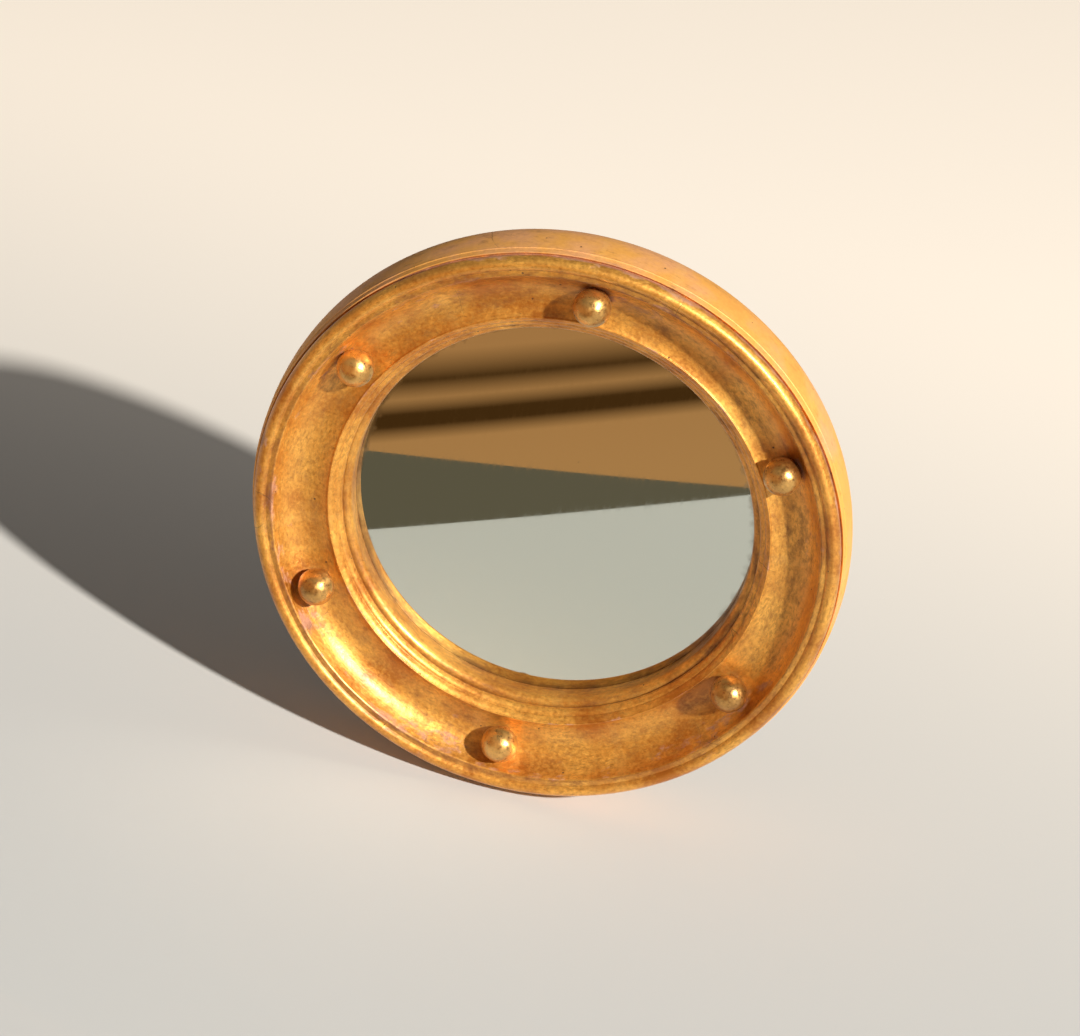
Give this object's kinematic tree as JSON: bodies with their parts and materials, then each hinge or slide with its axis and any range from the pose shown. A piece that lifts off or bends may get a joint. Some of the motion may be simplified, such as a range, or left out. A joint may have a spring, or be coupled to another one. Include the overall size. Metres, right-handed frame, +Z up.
{
  "type": "convex wall mirror",
  "caption": "Round convex wall mirror in a deep gilded turned frame with balls set in its cove, a beaded sight ring and a swinging hanging ring at the back.",
  "frame": {"origin": "point where the mirror's axis meets the wall, in the plane of the frame's back face", "axes": "-Y is the way the mirror looks, +Y points into the wall, +Z is up as it hangs, with one ball at the top"},
  "size_m": [0.2564, 0.0445, 0.2564],
  "materials": {
    "gilding": "gold leaf over red clay on gesso, rubbed and toned, on turned softwood",
    "silvered_glass": "gently bulged glass silvered behind, lightly foxed",
    "board": "thin planed pine, darkened with age",
    "softwood": "sawn pine",
    "brass": "dull worn brass",
    "steel": "dark steel wire nails"
  },
  "bodies": {
    "mirror": {"frame_ring": "gilding", "sight_slip": "gilding", "convex_glass": "silvered_glass", "glass_block_1": "softwood", "glass_block_2": "softwood", "glass_block_3": "softwood", "glass_block_4": "softwood", "glass_block_5": "softwood", "glass_block_6": "softwood", "ball_1": "gilding", "ball_2": "gilding", "ball_3": "gilding", "ball_4": "gilding", "ball_5": "gilding", "ball_6": "gilding", "backboard": "board", "backboard_pins": "steel", "hanger_plate": "brass", "hanger_screws": "brass"},
    "ring": {"hanger_ring": "brass"}
  },
  "joints": [
    {"name": "ring_swing", "type": "hinge", "parent": "mirror", "child": "ring", "pos_m": [0, -0.0035, 0.1005], "axis": [1, 0, 0], "range_deg": [-9, 180]}
  ]
}
